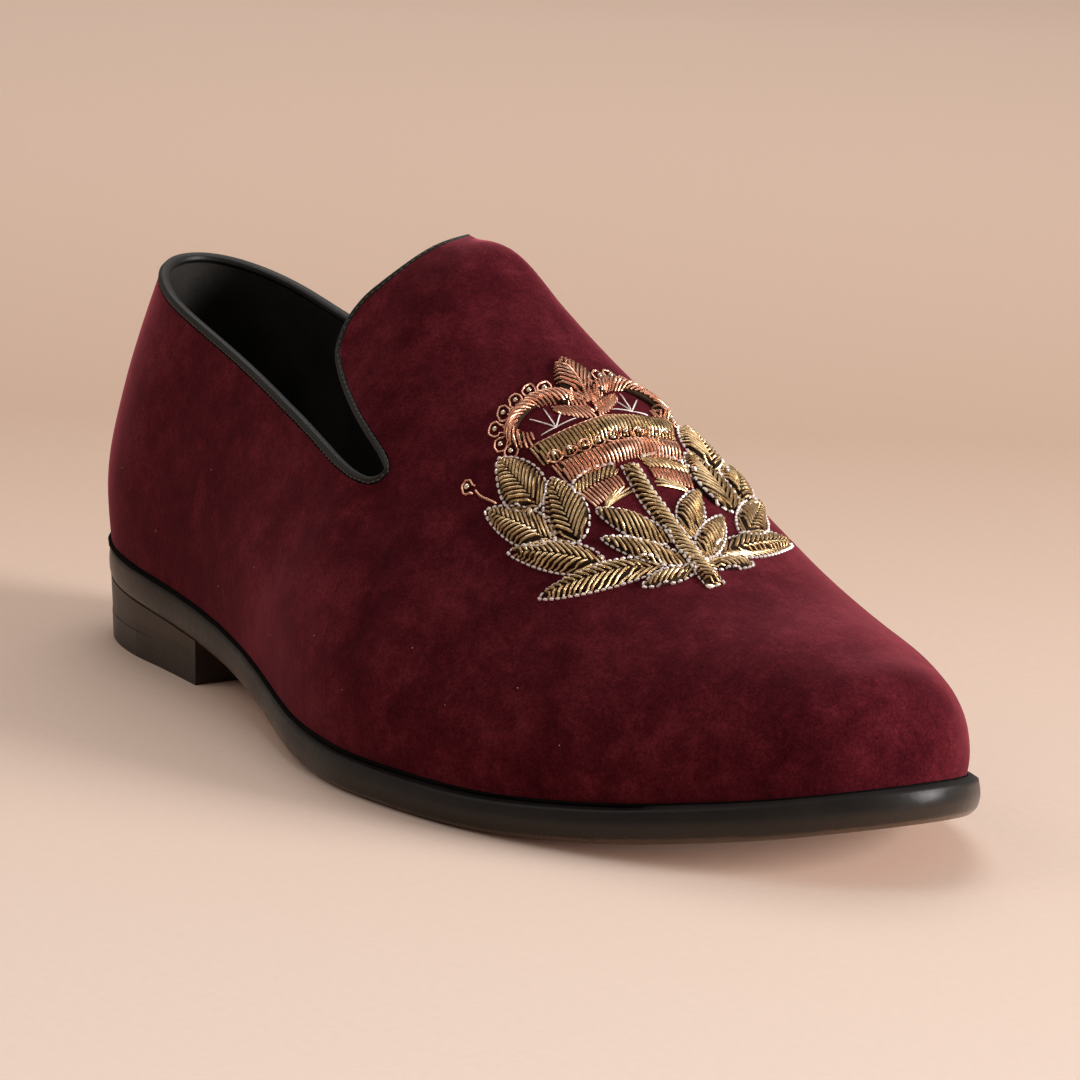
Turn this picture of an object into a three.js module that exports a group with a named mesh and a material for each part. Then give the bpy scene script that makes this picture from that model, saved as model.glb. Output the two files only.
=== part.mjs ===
// A slip-on velvet loafer for the right foot: a hollow upper with a tongue-shaped vamp and a bound
// top line, an insole, a leather outsole on a stacked heel, and raised metal-thread embroidery.
// Millimetres. +X points to the toe, +Y to the inner side of the foot, +Z up. The floor is Z = 0.

import * as THREE from "three";
import { mergeVertices } from "three/addons/utils/BufferGeometryUtils.js";

// Driving dimensions
const LENGTH = 300; // outsole, heel to toe
const BALL_WIDTH = 105; // outsole at the ball
const HEEL_WIDTH = 57.6; // outsole at the heel
const INSTEP_RISE = 98; // feather line to the crest of the vamp, at the tongue
const HEEL_RISE = 16; // floor to the outsole's underside, at the back
const TOE_SPRING = 13.7; // floor to the outsole's underside, at the toe
const SOLE_THICKNESS = 7.9;
const WALL = 2.2; // velvet, backing and lining together
const GAP = 0.3; // between pieces that meet

// Further sizes
const HEEL_ROUND = 48; // length of the heel's round end
const BALL_AT = 205; // widest place of the outsole
const TOE_TAPER = 0.16; // how much slimmer than an ellipse the toe is
const ROUND_POWER = 0.95; // squareness of the heel's round end
const HEEL_MARGIN = 0.7; // outsole past the upper at the back
const TOE_MARGIN = 3.2; // outsole past the upper at the toe
const HEEL_KEEP = 0.985; // the feather line's width as a share of the outsole's, heel and waist
const BALL_KEEP = 0.943; // the same at the ball and toe
const TOE_ROUND_AT = 240; // where the crest begins to round down to the toe
const TOE_ROUND_POWER = 5;
const WAIST_AT = 90; // where the sole's waist begins to change into its forepart
const FOREPART_AT = 160; // where that change ends
const WELD = 1e-3;

// Shares of LENGTH are in per cent in the column "at"
const table = (columns, rows) =>
  rows.map((row) => Object.fromEntries(columns.split(" ").map((key, i) => [key, row[i]])));

// Outsole plan: spread from heel width (0) to ball width (1), swing of the middle to the inner side in
// per cent of the ball width
const SOLE_PLAN = table("at spread swing", [
  [0, 0, 3.6],
  [16, 0, 1.4],
  [23.3, 0.02, -0.2],
  [31.7, 0.075, -2.6],
  [40, 0.235, -5.7],
  [48.3, 0.525, -7.1],
  [56.7, 0.8, -5.8],
  [63.3, 0.941, -2.4],
  [68.3, 1, 0.4],
  [76.7, 1, 4.4],
  [83.3, 1, 7.2],
  [91.7, 1, 9.4],
  [100, 1, 10.6],
]);

// Outsole side view: height of the underside in mm
const SOLE_SIDE = table("at under", [
  [0, HEEL_RISE],
  [24, 11],
  [36.7, 6.4],
  [50, 0.9],
  [60, 0],
  [71, 0],
  [80, 1.9],
  [91.7, 7.6],
  [100, TOE_SPRING],
]);

// Crest of the last: y in per cent of the ball width, rise above the feather in per cent of INSTEP_RISE.
// Rows behind the tongue are the last's closed top, above the collar.
const CREST = table("at y rise", [
  [16, 1.4, 97],
  [25, 4, 99],
  [35, 7, 100],
  [40, 9, 100],
  [44.7, 11, 102],
  [50, 11.8, 93.6],
  [57, 12.6, 82.2],
  [66.7, 13, 66],
  [78, 12.6, 46.4],
  [87.3, 12, 35],
  [93.3, 11.6, 29.8],
  [100, 11.6, 29.6],
]);

// Walls of the last: width at five heights as a share of the width at the feather line
const WALL_STEPS = [0, 0.1, 0.25, 0.42, 0.62, 0.82, 1];
const WALL_COLUMNS = "at low wall flank shoulder crown";
const OUTER_WALL = table(WALL_COLUMNS, [
  [15, 1.04, 0.94, 0.755, 0.5, 0.24],
  [25, 1.03, 0.93, 0.745, 0.5, 0.24],
  [35, 1.02, 0.91, 0.73, 0.48, 0.23],
  [45, 1.01, 0.88, 0.68, 0.45, 0.22],
  [57, 1.02, 0.9, 0.68, 0.44, 0.21],
  [70, 1.02, 0.92, 0.73, 0.48, 0.235],
  [80, 1.03, 0.96, 0.81, 0.57, 0.28],
  [90, 1.03, 0.99, 0.87, 0.65, 0.33],
  [100, 1.03, 1, 0.9, 0.7, 0.36],
]);
const INNER_WALL = table(WALL_COLUMNS, [
  [15, 1.05, 0.96, 0.75, 0.5, 0.24],
  [25, 1.07, 1, 0.76, 0.5, 0.24],
  [35, 1.13, 1.1, 0.84, 0.55, 0.26],
  [45, 1.12, 1.1, 0.94, 0.68, 0.36],
  [57, 1.05, 1.02, 0.88, 0.65, 0.35],
  [70, 1.03, 0.98, 0.85, 0.62, 0.33],
  [80, 1.03, 0.98, 0.85, 0.62, 0.32],
  [90, 1.03, 0.99, 0.87, 0.66, 0.34],
  [100, 1.03, 1, 0.9, 0.7, 0.36],
]);
const BACK_WALL = table(WALL_COLUMNS, [
  [0, 1.043, 0.953, 0.806, 0.641, 0.41],
  [100, 1.043, 0.953, 0.806, 0.641, 0.41],
]);

// Edge of the upper from the heel's flank to the notch, then up the tongue's side and round its
// end: heights are above the floor in mm
const QUARTER_EDGE = table("at z", [
  [16, 82.3],
  [21, 79],
  [27, 75.2],
  [33.3, 70.9],
  [39.5, 66.6],
  [45, 62.6],
  [48.8, 60.9],
  [50.6, 62],
  [51.2, 64.8],
]);
const TONGUE_SIDE = table("at z", [
  [51.2, 64.8],
  [50.4, 67.6],
  [47.9, 70.9],
  [44.6, 75.2],
  [41.3, 79.8],
  [39, 85.2],
]);
const TONGUE_END = table("at z", [
  [39, 85.2],
  [38.5, 90.9],
  [39.1, 97],
  [40.4, 103],
]);
const TONGUE_TIP = 41.7;
const BACK_EDGE = 90; // height of the upper's edge at the back

// Mesh steps
const FAN_STEPS = 8; // round each half of the heel
const QUARTER_STEPS = 10; // heel to notch
const VAMP_STEPS = 24; // notch to toe
const WALL_ROWS = 8; // feather to notch height
const TOP_ROWS = 8; // notch height to crest
const TONGUE_STEPS = 7;
const SOLE_STEPS = 30; // heel to toe along each side of the sole
const TOE_CROWDING = 1.55; // how much closer the steps lie towards the toe
const TOE_SPLIT = 0.5; // t of the middle row at the toe

const along = (at) => (at / 100) * LENGTH;
const mix = (a, b, share) => a + (b - a) * share;
const ease = (share) => share * share * (3 - 2 * share);
const shareOf = (x, start, end) => THREE.MathUtils.clamp((x - start) / (end - start), 0, 1);
const forepart = (x) => ease(shareOf(x, WAIST_AT, FOREPART_AT));

// A monotone cubic through the rows of a table, as a function of its first column
function curve(xs, ys) {
  const last = xs.length - 1;
  const step = (i) => (ys[i + 1] - ys[i]) / (xs[i + 1] - xs[i]);
  const slope = xs.map((_, i) => {
    if (i === 0) return step(0);
    if (i === last) return step(last - 1);
    const before = step(i - 1);
    const after = step(i);
    return before * after <= 0 ? 0 : (2 * before * after) / (before + after);
  });
  return (x) => {
    let i = 0;
    while (i < last - 1 && x > xs[i + 1]) i++;
    const span = xs[i + 1] - xs[i];
    const u = THREE.MathUtils.clamp((x - xs[i]) / span, 0, 1);
    const v = 1 - u;
    return (
      ys[i] * v * v * (1 + 2 * u) +
      ys[i + 1] * u * u * (1 + 2 * v) +
      span * (slope[i] * u * v * v - slope[i + 1] * u * u * v)
    );
  };
}
const column = (rows, key, scale = 1) =>
  curve(rows.map((row) => along(row.at)), rows.map((row) => row[key] * scale));

const spread = column(SOLE_PLAN, "spread");
const swing = column(SOLE_PLAN, "swing", BALL_WIDTH / 100);
const under = column(SOLE_SIDE, "under");
const crestTable = column(CREST, "y", BALL_WIDTH / 100);
const crestRise = column(CREST, "rise", INSTEP_RISE / 100);

// Outsole half width: a round heel, a waist from the table and a tapered elliptic toe
function soleHalf(x) {
  const heel = HEEL_WIDTH / 2;
  const ball = BALL_WIDTH / 2;
  if (x <= HEEL_ROUND) {
    const u = shareOf(x, HEEL_ROUND, 0);
    return heel * (1 - u ** (2 / ROUND_POWER)) ** (ROUND_POWER / 2);
  }
  if (x < BALL_AT) return mix(heel, ball, spread(x));
  const u = shareOf(x, BALL_AT, LENGTH);
  return ball * Math.sqrt(1 - u * u) * (1 - TOE_TAPER * u * u);
}

// The feather line, where the upper meets the outsole
const TIP = LENGTH - TOE_MARGIN;
const soleTop = (x) => under(x) + SOLE_THICKNESS;
const footZ = (x) => soleTop(x) + GAP;
function featherHalf(x) {
  const onSole = ((x - HEEL_MARGIN) * LENGTH) / (LENGTH - HEEL_MARGIN - TOE_MARGIN);
  return soleHalf(onSole) * mix(HEEL_KEEP, BALL_KEEP, forepart(x));
}

// Widths of the last's walls over t, from the feather line (0) to the crest (1)
function wallShare(rows) {
  const keys = WALL_COLUMNS.split(" ").slice(1);
  const columns = keys.map((key) => column(rows, key));
  return (x, t) => curve(WALL_STEPS, [1, ...columns.map((share) => share(x)), 0])(t);
}
const outerShare = wallShare(OUTER_WALL);
const innerShare = wallShare(INNER_WALL);
const backShare = wallShare(BACK_WALL);
const rise = (t) => Math.sin((Math.PI / 2) * t);
const stepAt = (share) => (2 / Math.PI) * Math.asin(THREE.MathUtils.clamp(share, 0, 1));
const toeShare = (x) => shareOf(x, TOE_ROUND_AT, TIP);
const crestHeight = (x) => crestRise(x) * Math.sqrt(1 - toeShare(x) ** TOE_ROUND_POWER);

// The crest's y runs into the feather line's middle at the tip, where all rows meet
const crestY = (x) => mix(crestTable(x), swing(x), ease(toeShare(x)));

// The last's skin at x: side is -1 for the outer flank of the shoe and 1 for the inner one
function skin(side, x, t) {
  const middle = crestY(x);
  const foot = swing(x) + side * featherHalf(x);
  const share = side < 0 ? outerShare(x, t) : innerShare(x, t);
  return new THREE.Vector3(x, mix(middle, foot, share), footZ(x) + crestHeight(x) * rise(t));
}
// The same round the heel: turn goes from the back (0) to the flank (1)
function heelSkin(side, turn, t) {
  const reach = (HEEL_ROUND - HEEL_MARGIN) * Math.cos((turn * Math.PI) / 2) ** ROUND_POWER;
  const foot = HEEL_ROUND - reach;
  const share = side < 0 ? outerShare(HEEL_ROUND, t) : innerShare(HEEL_ROUND, t);
  const y = swing(foot) + side * featherHalf(foot) * share;
  return new THREE.Vector3(HEEL_ROUND - reach * backShare(0, t), y, mix(footZ(foot), BACK_CREST, rise(t)));
}
const stepAtHeight = (x, z) => stepAt((z - footZ(x)) / crestHeight(x));
const BACK_FOOT = footZ(HEEL_MARGIN);
const BACK_CREST = footZ(HEEL_ROUND) + crestHeight(HEEL_ROUND);
const BACK_TOP = stepAt((BACK_EDGE - BACK_FOOT) / (BACK_CREST - BACK_FOOT));

// Edge curves of the upper in x and t, over a share from 0 to 1
function edgeCurve(rows, end = []) {
  const points = rows.map(({ at, z }) => {
    const x = along(at);
    return new THREE.Vector2(x, stepAtHeight(x, z));
  });
  return new THREE.SplineCurve([...points, ...end]);
}
const tip = new THREE.Vector2(along(TONGUE_TIP), 1);
const quarterEdge = edgeCurve(QUARTER_EDGE);
const tongueSide = edgeCurve(TONGUE_SIDE);
const tongueEnd = edgeCurve(TONGUE_END, [tip]);
const notch = tongueSide.getPoint(0);

const steps = (count, make) => Array.from({ length: count + 1 }, (_, i) => make(i / count, i));

// Round the heel, from the back to the flank
function heelGrid(side) {
  const flankTop = quarterEdge.getPoint(0).y;
  return steps(FAN_STEPS, (turn) => {
    const reach = mix(flankTop, BACK_TOP, Math.cos((turn * Math.PI) / 2));
    return steps(WALL_ROWS, (v) => heelSkin(side, turn, reach * v));
  });
}

// Along the quarter, from the heel to the notch
function quarterGrid(side) {
  return steps(QUARTER_STEPS, (u) => {
    const edge = quarterEdge.getPoint(u);
    return steps(WALL_ROWS, (v) => skin(side, edge.x, edge.y * v));
  });
}

// Along the vamp, from the notch to the toe: rows below the notch's height, then rows up to the crest
function vampGrid(side) {
  return steps(VAMP_STEPS, (u) => {
    const x = TIP - (TIP - notch.x) * (1 - u) ** TOE_CROWDING;
    const split = mix(notch.y, TOE_SPLIT, u);
    const low = steps(WALL_ROWS, (v) => skin(side, x, split * v));
    const high = steps(TOP_ROWS, (v) => skin(side, x, mix(split, 1, v)));
    return [...low, ...high.slice(1)];
  });
}

// The tongue: a patch between the notch's rib, the tongue's side, its end and the crest
function tongueGrid(side) {
  const corner = tongueSide.getPoint(1);
  return steps(TONGUE_STEPS, (u) =>
    steps(TOP_ROWS, (w) => {
      const low = tongueSide.getPoint(u);
      const front = new THREE.Vector2(notch.x, mix(notch.y, 1, w));
      const end = tongueEnd.getPoint(w);
      const crest = new THREE.Vector2(mix(notch.x, tip.x, u), 1);
      const across = low.clone().lerp(crest, w);
      const back = front.clone().lerp(end, u);
      const below = notch.clone().lerp(corner, u);
      const above = new THREE.Vector2(notch.x, 1).lerp(tip, u);
      const spot = across.add(back).sub(below.lerp(above, w));
      return skin(side, spot.x, spot.y);
    }),
  );
}

// Triangles of a grid of points, columns first; turned gives them the other face
function triangles(grid, turned = false) {
  const out = [];
  for (let i = 0; i + 1 < grid.length; i++) {
    for (let j = 0; j + 1 < grid[i].length; j++) {
      const [a, b, c, d] = [grid[i][j], grid[i + 1][j], grid[i + 1][j + 1], grid[i][j + 1]];
      out.push(...(turned ? [[a, c, b], [a, d, c]] : [[a, b, c], [a, c, d]]));
    }
  }
  return out;
}

// One welded geometry of triangles, without those that close up to a line
function geometryOf(faces) {
  const loose = new THREE.BufferGeometry().setFromPoints(faces.flat());
  const welded = mergeVertices(loose, WELD);
  const index = [];
  for (let i = 0; i < welded.index.count; i += 3) {
    const [a, b, c] = [0, 1, 2].map((k) => welded.index.getX(i + k));
    if (a !== b && b !== c && c !== a) index.push(a, b, c);
  }
  return welded.setIndex(index);
}
const pointsOf = (geometry) =>
  steps(geometry.attributes.position.count - 1, (_, i) =>
    new THREE.Vector3().fromBufferAttribute(geometry.attributes.position, i),
  );
const FOOT_BAND = 0.05;
const onFoot = (point) => point.z - footZ(point.x) < FOOT_BAND;

// A wall of even thickness behind an open face, whose foot stays on the sole
function thicken(faces, thickness) {
  const face = geometryOf(faces);
  face.computeVertexNormals();
  const outside = pointsOf(face);
  const inside = outside.map((point, i) => {
    const normal = new THREE.Vector3().fromBufferAttribute(face.attributes.normal, i);
    if (onFoot(point)) normal.setZ(0).normalize();
    const moved = point.clone().addScaledVector(normal, -thickness);
    return onFoot(point) ? moved.setZ(footZ(moved.x)) : moved;
  });
  const out = [];
  const open = new Map();
  for (let i = 0; i < face.index.count; i += 3) {
    const corner = [0, 1, 2].map((k) => face.index.getX(i + k));
    out.push(corner.map((k) => outside[k]));
    out.push(corner.map((k) => inside[k]).reverse());
    corner.forEach((a, k) => {
      const b = corner[(k + 1) % 3];
      if (!open.delete(`${b} ${a}`)) open.set(`${a} ${b}`, [a, b]);
    });
  }
  for (const [a, b] of open.values()) {
    out.push([outside[b], outside[a], inside[a]], [outside[b], inside[a], inside[b]]);
  }
  const behind = (point) => {
    const distances = outside.map((other) => other.distanceTo(point));
    return inside[distances.indexOf(Math.min(...distances))];
  };
  return { faces: out, behind };
}

// A ring of loops, one above another, closed by ladders across the lowest and the highest one. Each loop
// runs from the back along the outer side to the toe and along the inner side back.
function stacked(loops) {
  const count = loops[0].length;
  const side = steps(count, (_, i) => loops.map((loop) => loop[i % count]));
  const ladder = (loop) => steps(count / 2, (_, i) => [loop[i], loop[(count - i) % count]]);
  return [
    ...triangles(side),
    ...triangles(ladder(loops[0]), true),
    ...triangles(ladder(loops.at(-1))),
  ];
}

// A slab between two grids of points, columns along +X and rows along +Y
function slab(low, high) {
  const edge = (pick) => [low, high].map(pick);
  const wall = (lower, upper) => lower.map((point, i) => [point, upper[i]]);
  const outer = edge((grid) => grid.map((points) => points[0]));
  const inner = edge((grid) => grid.map((points) => points.at(-1)));
  const back = edge((grid) => grid[0]);
  const front = edge((grid) => grid.at(-1));
  return [
    ...triangles(low, true),
    ...triangles(high),
    ...triangles(wall(...outer)),
    ...triangles(wall(...inner), true),
    ...triangles(wall(...back), true),
    ...triangles(wall(...front)),
  ];
}

// A plan loop: half widths over x, with its round heel reaching back to x = start
function planLoop(half, start, end) {
  const stations = [
    ...steps(FAN_STEPS, (turn) => {
      const back = Math.cos((turn * Math.PI) / 2) ** ROUND_POWER;
      return HEEL_ROUND - (HEEL_ROUND - start) * back;
    }).slice(0, -1),
    ...steps(SOLE_STEPS, (u) => end - (end - HEEL_ROUND) * (1 - u) ** TOE_CROWDING),
  ];
  const point = (side) => (x) => new THREE.Vector3(x, swing(x) + side * half(x), 0);
  const outer = stations.map(point(-1));
  const inner = stations.slice(1, -1).reverse().map(point(1));
  return [...outer, ...inner];
}
// The loop moved inwards and up, by a depth and to a height that may change along x
function inset(loop, depth, height) {
  const count = loop.length;
  return loop.map((point, i) => {
    const run = loop[(i + 1) % count].clone().sub(loop[(i + count - 1) % count]);
    const inward = new THREE.Vector3(-run.y, run.x, 0).normalize();
    const moved = point.clone().addScaledVector(inward, depth(point.x));
    return moved.setZ(height(moved.x));
  });
}

// Finishes
const finish = (color, roughness, metalness = 0) =>
  new THREE.MeshStandardMaterial({ color, roughness, metalness });
const VELVET = finish(0x4a1222, 0.9);
const BLACK_LEATHER = finish(0x16120f, 0.4);
const SOLE_LEATHER = finish(0x2a1d16, 0.45);
const TAN_LEATHER = finish(0xb98a5a, 0.6);
const RUBBER = finish(0x1a1a1a, 0.7);
const LINING = finish(0x191413, 0.6);
const GOLD_THREAD = finish(0x8c7040, 0.35, 0.9);
const COPPER_THREAD = finish(0xb06c52, 0.35, 0.9);

const shoe = new THREE.Group();
function add(name, faces, material) {
  const geometry = geometryOf(faces);
  geometry.computeVertexNormals();
  const mesh = new THREE.Mesh(geometry, material);
  mesh.name = name;
  shoe.add(mesh);
}

// Upper
const SIDES = [-1, 1];
const upperGrids = SIDES.flatMap((side) =>
  [heelGrid, quarterGrid, vampGrid, tongueGrid].map((grid) => ({ side, grid: grid(side), kind: grid })),
);
const upperFaces = upperGrids.flatMap(({ side, grid, kind }) =>
  triangles(grid, kind === tongueGrid ? side < 0 : side > 0),
);
const upper = thicken(upperFaces, WALL);
add("upper", upper.faces, VELVET);

// Binding along the upper's edge: an oval roll that sits on the edge
const BINDING = { half_width: 1.5, half_height: 1.2, sides: 8 };
function edgeOf(side) {
  const [heel, quarter, vamp, tongue] = upperGrids.filter((part) => part.side === side).map((part) => part.grid);
  const inwards = (grid) => grid.map((points) => ({ rim: points.at(-1), below: points.at(-2) }));
  const low = tongue.map((points) => ({ rim: points[0], below: points[1] }));
  const end = tongue.at(-1).map((rim, i) => ({ rim, below: tongue.at(-2)[i] }));
  const corner = { rim: quarter.at(-1).at(-1), below: vamp[1][WALL_ROWS] };
  const sides = inwards(quarter).slice(1, -1);
  return [...inwards(heel), ...sides, corner, ...low.slice(1), ...end.slice(1)];
}
const ring = [...edgeOf(-1), ...edgeOf(1).reverse().slice(1, -1)];
const bindingGrid = steps(ring.length, (_, i) => {
  const { rim, below } = ring[i % ring.length];
  const inside = upper.behind(rim);
  const run = ring[(i + 1) % ring.length].rim.clone().sub(ring[(i + ring.length - 1) % ring.length].rim);
  const across = rim.clone().sub(inside).normalize();
  const up = run.clone().cross(across).normalize();
  if (up.dot(rim.clone().sub(below)) < 0) up.negate();
  const middle = rim.clone().lerp(inside, 0.5).addScaledVector(up, GAP + BINDING.half_height);
  return steps(BINDING.sides, (turn) =>
    middle
      .clone()
      .addScaledVector(across, BINDING.half_width * Math.cos(2 * Math.PI * turn))
      .addScaledVector(up, BINDING.half_height * Math.sin(2 * Math.PI * turn)),
  );
});
add("topline_binding", triangles(bindingGrid), BLACK_LEATHER);

// Outsole, with an edge that is rounder at the forepart than at the waist and heel
const SOLE_EDGE = table("inset share", [
  [1, 0],
  [0.25, 0.13],
  [0, 0.38],
  [0, 0.62],
  [0.3, 0.88],
  [1, 1],
]);
const EDGE_ROUND = { waist: 0.8, forepart: 1.8 };
const edgeDepth = (x) => mix(EDGE_ROUND.waist, EDGE_ROUND.forepart, forepart(x));
const soleLoop = planLoop(soleHalf, 0, LENGTH);
const soleLoops = SOLE_EDGE.map((row) =>
  inset(soleLoop, (x) => row.inset * edgeDepth(x), (x) => under(x) + row.share * SOLE_THICKNESS),
);
add("outsole", stacked(soleLoops), SOLE_LEATHER);

// Insole, inside the upper's foot
const INSOLE_THICKNESS = 2.5;
const INSOLE_EDGE = table("clear share", [
  [1.1, 0],
  [0.9, 0.6],
  [1.3, 1],
]);
const featherLoop = planLoop(featherHalf, HEEL_MARGIN, TIP);
const insoleLoops = INSOLE_EDGE.map(({ clear, share }) =>
  inset(featherLoop, () => WALL + clear, (x) => footZ(x) + share * INSOLE_THICKNESS),
);
add("insole", stacked(insoleLoops), LINING);

// Heel: a stack under the outsole with a hollow breast, on a walking face cut slantwise in two
const BREAST_AT = 75;
const BREAST_HOLLOW = 5;
const BREAST_SLANT = 14; // how much further forward the inner corner lies
const TIP_THICKNESS = 6;
const TIP_CUT = { middle: 39, slant: 1 };
const HEEL_TRIM = { tip_foot: 2, tip: 1.5, stack: 0.7 }; // how much smaller than the outsole each level is
const HEEL_ACROSS = 8;
const HEEL_ALONG = 10;
const breast = (f) => BREAST_AT + (BREAST_SLANT * (1 + f)) / 2 - BREAST_HOLLOW * (1 - f * f);
const cut = (f) => TIP_CUT.middle - TIP_CUT.slant * f;
function heelGridAt(start, end, trim, height) {
  const scale = 1 - trim / HEEL_ROUND;
  return steps(HEEL_ALONG, (u) =>
    steps(HEEL_ACROSS, (v) => {
      const f = 2 * v - 1;
      const share = start ? u : 1 - Math.cos((u * Math.PI) / 2);
      const x = mix(start ? start(f) : 0, end(f), share);
      const shrunk = HEEL_ROUND - (HEEL_ROUND - x) * scale;
      return new THREE.Vector3(shrunk, swing(x) + f * soleHalf(x) * scale, height(x));
    }),
  );
}
const stackTop = (x) => under(x) - GAP;
const heelSlab = (start, end, trims, heights) =>
  slab(heelGridAt(start, end, trims[0], heights[0]), heelGridAt(start, end, trims[1], heights[1]));
const stackTrims = [HEEL_TRIM.tip, HEEL_TRIM.stack];
const stackHeights = [() => TIP_THICKNESS + GAP, stackTop];
add("heel_stack", heelSlab(null, breast, stackTrims, stackHeights), BLACK_LEATHER);
const tipTrims = [HEEL_TRIM.tip_foot, HEEL_TRIM.tip];
const tipHeights = [() => 0, () => TIP_THICKNESS];
const behindCut = (f) => cut(f) - GAP;
add("heel_tip_rear", heelSlab(null, behindCut, tipTrims, tipHeights), RUBBER);
add("heel_tip_front", heelSlab(cut, breast, tipTrims, tipHeights), TAN_LEATHER);

// Embroidery: pads of metal thread that stand on the vamp. The motif's own frame has u from the foot of
// its stem back to the tongue, and v from its middle line across.
const MOTIF_FOOT = 235.5; // x of the stem's foot
const MOTIF_LENGTH = 68;
const MOTIF_SHIFT = { foot: -13.3, head: -7.3 }; // its middle line, round the section from the crest
const MOTIF_TURN = 0.09; // its cross lines stand square to that middle line
const INNER_SHARE = 0.82; // lasting drew the inner half together and forward
const INNER_PULL = 6;
const INNER_REACH = 12;
const PAD_EDGE = 0.5; // thickness of a pad at its edge
const PAD_DOME = 0.8; // how much more it has in the middle
const PAD_ROWS = 4;
const LEAF_COLUMNS = 6;
const BAND_COLUMNS = 10;
const SECTION_STEPS = 40;
const SLOPE_STEP = 0.5;

// Leaves of one half of the motif, in mm; the other half is their mirror image
const LEAVES = table("base_u base_v tip_u tip_v width", [
  [40.2, 24.4, 54.4, 25.4, 9],
  [25.6, 20.2, 41.4, 17.4, 8.8],
  [31.4, 27.4, 46.7, 34.2, 6],
  [18.6, 19.6, 34.2, 34.2, 4.8],
  [11.2, 11.2, 20.4, 33.8, 5],
  [16.8, 3.8, 28.7, 12.8, 4.8],
  [9.6, 4.1, 21.8, 15.3, 4],
  [4.5, 3.8, 6.1, 13.5, 3.6],
]);
const LEAF_FULLNESS = 0.75;
const LEAF_ROUNDNESS = 0.8;
const leafWidth = (share) => Math.sin(Math.PI * share ** LEAF_FULLNESS) ** LEAF_ROUNDNESS;
const TOP_LEAF = [[57.6, 0.5], [67.1, -0.2]];
const TOP_LEAF_WIDTH = 8.4;

// Bands along a line of points in u and v
const STEM = { line: [[34, -0.8], [16.8, -0.4], [-0.4, 0]], width: 3.7 };
const WREATH = {
  line: [[54.6, 19.2], [57.9, 19.3], [59.8, 16.6], [60.5, 12.4], [59.8, 8.4], [58.4, 5.6], [56.6, 3.8]],
  width: 3,
};
const arc = (crown, half, bend) =>
  [-1, -0.5, 0, 0.5, 1].map((share) => [crown + bend * share * share, half * share]);
const GOLD_BAND = { line: arc(46.3, 16.6, 2.3), width: 4.8 };
const COPPER_BAND = { line: arc(39.9, 14.8, 1.5), width: 3.9 };

// A place on the upper's skin: x along the shoe, and s round the section from the crest
function placeOnSkin(x, s) {
  const section = new THREE.CatmullRomCurve3(steps(SECTION_STEPS, (v) => skin(s < 0 ? -1 : 1, x, 1 - v)));
  return section.getPointAt(Math.abs(s) / section.getLength());
}
function liftedFrom(x, s) {
  const point = placeOnSkin(x, s);
  const ahead = placeOnSkin(x + SLOPE_STEP, s).sub(placeOnSkin(x - SLOPE_STEP, s));
  const across = placeOnSkin(x, s + SLOPE_STEP).sub(placeOnSkin(x, s - SLOPE_STEP));
  const normal = ahead.cross(across).normalize();
  return (lift) => point.clone().addScaledVector(normal, lift);
}
const onChart = ([u, v]) => {
  const across = v > 0 ? INNER_SHARE * v : v;
  const pull = v > 0 ? INNER_PULL * (1 - Math.exp(-((across / INNER_REACH) ** 2))) : 0;
  const shift = mix(MOTIF_SHIFT.foot, MOTIF_SHIFT.head, u / MOTIF_LENGTH);
  return new THREE.Vector2(MOTIF_FOOT - u + MOTIF_TURN * across + pull, across + shift);
};

// A pad along a line: low at its edge and raised along its middle
function pad(line, width, columns, profile = () => 1) {
  const spine = new THREE.SplineCurve(line.map(onChart));
  const lifts = steps(columns, (a) => {
    const middle = spine.getPointAt(a);
    const run = spine.getTangentAt(a);
    const side = new THREE.Vector2(-run.y, run.x).multiplyScalar((width / 2) * profile(a));
    return steps(PAD_ROWS, (b) => {
      const spot = middle.clone().addScaledVector(side, 2 * b - 1);
      const dome = PAD_DOME * 4 * b * (1 - b) * profile(a);
      return { lift: liftedFrom(spot.x, spot.y), height: PAD_EDGE + dome };
    });
  });
  const sheet = (height) => lifts.map((row) => row.map((place) => place.lift(GAP + height(place))));
  return slab(sheet(() => 0), sheet((place) => place.height));
}
const mirrored = (line, side) => line.map(([u, v]) => [u, side * v]);
for (const side of SIDES) {
  const half = side < 0 ? "outer" : "inner";
  LEAVES.forEach(({ base_u, base_v, tip_u, tip_v, width }, i) => {
    const line = mirrored([[base_u, base_v], [tip_u, tip_v]], side);
    add(`leaf_${i + 1}_${half}`, pad(line, width, LEAF_COLUMNS, leafWidth), GOLD_THREAD);
  });
  add(`copper_wreath_${half}`, pad(mirrored(WREATH.line, side), WREATH.width, BAND_COLUMNS), COPPER_THREAD);
}
add("stem", pad(STEM.line, STEM.width, LEAF_COLUMNS), GOLD_THREAD);
add("gold_band", pad(GOLD_BAND.line, GOLD_BAND.width, BAND_COLUMNS), GOLD_THREAD);
add("copper_band", pad(COPPER_BAND.line, COPPER_BAND.width, BAND_COLUMNS), COPPER_THREAD);
add("copper_leaf", pad(TOP_LEAF, TOP_LEAF_WIDTH, LEAF_COLUMNS, leafWidth), COPPER_THREAD);

// The origin is the middle of the shoe's box, on the floor
const box = new THREE.Box3().setFromObject(shoe);
const middle = box.getCenter(new THREE.Vector3());
shoe.children.forEach((mesh) => mesh.geometry.translate(-middle.x, -middle.y, -box.min.z));

export default shoe;
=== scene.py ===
"""A right loafer of burgundy velvet: bound top line, leather sole, stacked heel and goldwork on the vamp."""

import math
import random

import bmesh
import bpy
import numpy as np
from mathutils import Matrix, Vector
from mathutils.bvhtree import BVHTree


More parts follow.
